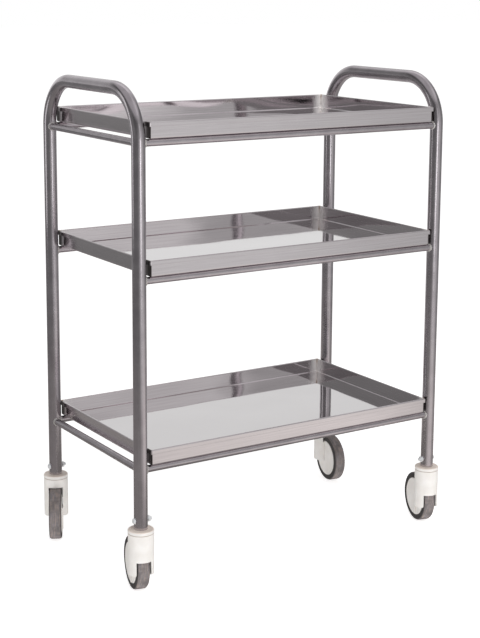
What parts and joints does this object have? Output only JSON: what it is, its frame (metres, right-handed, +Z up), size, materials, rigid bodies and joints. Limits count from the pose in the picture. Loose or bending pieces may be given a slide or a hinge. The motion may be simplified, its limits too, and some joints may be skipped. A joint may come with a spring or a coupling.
{
  "type": "instrument cart",
  "caption": "Rectangular wheeled cart: two bent-tube ends with handle bars, round rails, and shallow lift-out steel trays on swivel casters.",
  "frame": {"origin": "the point on the floor under the middle of the whole cart's bounding box, its casters included", "axes": "+Z up, +X along the trays' long side towards the right end seen from the front, -Y towards the front"},
  "size_m": [0.7482, 0.4066, 0.934],
  "materials": {
    "frame_steel": "satin brushed stainless tube, a little darker than the trays",
    "tray_steel": "polished stainless sheet, mirror-like floors and finely brushed walls",
    "bolt_steel": "bright zinc-plated fasteners",
    "caster_plastic": "off-white moulded nylon, semi-gloss",
    "hub_plastic": "light grey moulded nylon",
    "tyre_rubber": "grey-brown non-marking rubber, matt",
    "axle_steel": "plain machined steel"
  },
  "bodies": {
    "frame": {"side_frame_left": "frame_steel", "side_frame_right": "frame_steel", "bottom_rail_front": "frame_steel", "bottom_rail_back": "frame_steel", "bottom_rail_left": "frame_steel", "bottom_rail_right": "frame_steel", "middle_rail_front": "frame_steel", "middle_rail_back": "frame_steel", "top_rail_front": "frame_steel", "top_rail_back": "frame_steel", "top_rail_left": "frame_steel", "top_rail_right": "frame_steel", "front_left_caster_stem": "axle_steel", "front_left_caster_collar": "caster_plastic", "front_left_cross_bolt": "bolt_steel", "front_left_bolt_nut": "bolt_steel", "front_right_caster_stem": "axle_steel", "front_right_caster_collar": "caster_plastic", "front_right_cross_bolt": "bolt_steel", "front_right_bolt_nut": "bolt_steel", "back_left_caster_stem": "axle_steel", "back_left_caster_collar": "caster_plastic", "back_left_cross_bolt": "bolt_steel", "back_left_bolt_nut": "bolt_steel", "back_right_caster_stem": "axle_steel", "back_right_caster_collar": "caster_plastic", "back_right_cross_bolt": "bolt_steel", "back_right_bolt_nut": "bolt_steel"},
    "tray_bottom": {"tray_bottom": "tray_steel"},
    "tray_middle": {"tray_middle": "tray_steel"},
    "tray_top": {"tray_top": "tray_steel"},
    "front_left_swivel": {"front_left_caster_housing": "caster_plastic", "front_left_caster_bearing": "axle_steel", "front_left_caster_left_cheek": "caster_plastic", "front_left_caster_right_cheek": "caster_plastic", "front_left_caster_axle": "axle_steel"},
    "front_left_wheel": {"front_left_caster_hub": "hub_plastic", "front_left_caster_tyre": "tyre_rubber"},
    "front_right_swivel": {"front_right_caster_housing": "caster_plastic", "front_right_caster_bearing": "axle_steel", "front_right_caster_left_cheek": "caster_plastic", "front_right_caster_right_cheek": "caster_plastic", "front_right_caster_axle": "axle_steel"},
    "front_right_wheel": {"front_right_caster_hub": "hub_plastic", "front_right_caster_tyre": "tyre_rubber"},
    "back_left_swivel": {"back_left_caster_housing": "caster_plastic", "back_left_caster_bearing": "axle_steel", "back_left_caster_left_cheek": "caster_plastic", "back_left_caster_right_cheek": "caster_plastic", "back_left_caster_axle": "axle_steel"},
    "back_left_wheel": {"back_left_caster_hub": "hub_plastic", "back_left_caster_tyre": "tyre_rubber"},
    "back_right_swivel": {"back_right_caster_housing": "caster_plastic", "back_right_caster_bearing": "axle_steel", "back_right_caster_left_cheek": "caster_plastic", "back_right_caster_right_cheek": "caster_plastic", "back_right_caster_axle": "axle_steel"},
    "back_right_wheel": {"back_right_caster_hub": "hub_plastic", "back_right_caster_tyre": "tyre_rubber"}
  },
  "joints": [
    {"name": "front_left_swivel", "type": "hinge", "parent": "frame", "child": "front_left_swivel", "pos_m": [-0.3281, -0.179, 0.112], "axis": [0, 0, 1], "continuous": true},
    {"name": "front_left_wheel_spin", "type": "hinge", "parent": "front_left_swivel", "child": "front_left_wheel", "pos_m": [-0.32146, -0.15026, 0.05], "axis": [0.9744, -0.225, 0], "continuous": true},
    {"name": "front_right_swivel", "type": "hinge", "parent": "frame", "child": "front_right_swivel", "pos_m": [0.3439, -0.179, 0.112], "axis": [0, 0, 1], "continuous": true},
    {"name": "front_right_wheel_spin", "type": "hinge", "parent": "front_right_swivel", "child": "front_right_wheel", "pos_m": [0.35104, -0.15038, 0.05], "axis": [0.9703, -0.2419, 0], "continuous": true},
    {"name": "back_left_swivel", "type": "hinge", "parent": "frame", "child": "back_left_swivel", "pos_m": [-0.3281, 0.179, 0.112], "axis": [0, 0, 1], "continuous": true},
    {"name": "back_left_wheel_spin", "type": "hinge", "parent": "back_left_swivel", "child": "back_left_wheel", "pos_m": [-0.34172, 0.15283, 0.05], "axis": [-0.887, 0.4617, 0], "continuous": true},
    {"name": "back_right_swivel", "type": "hinge", "parent": "frame", "child": "back_right_swivel", "pos_m": [0.3439, 0.179, 0.112], "axis": [0, 0, 1], "continuous": true},
    {"name": "back_right_wheel_spin", "type": "hinge", "parent": "back_right_swivel", "child": "back_right_wheel", "pos_m": [0.33939, 0.14985, 0.05], "axis": [-0.9882, 0.153, 0], "continuous": true},
    {"name": "tray_top_lift", "type": "slide", "parent": "frame", "child": "tray_top", "axis": [0, 0, 1], "range_m": [0, 0.25]},
    {"name": "tray_middle_slide", "type": "slide", "parent": "frame", "child": "tray_middle", "axis": [0, -1, 0], "range_m": [0, 0.4]},
    {"name": "tray_bottom_slide", "type": "slide", "parent": "frame", "child": "tray_bottom", "axis": [0, -1, 0], "range_m": [0, 0.4]}
  ]
}
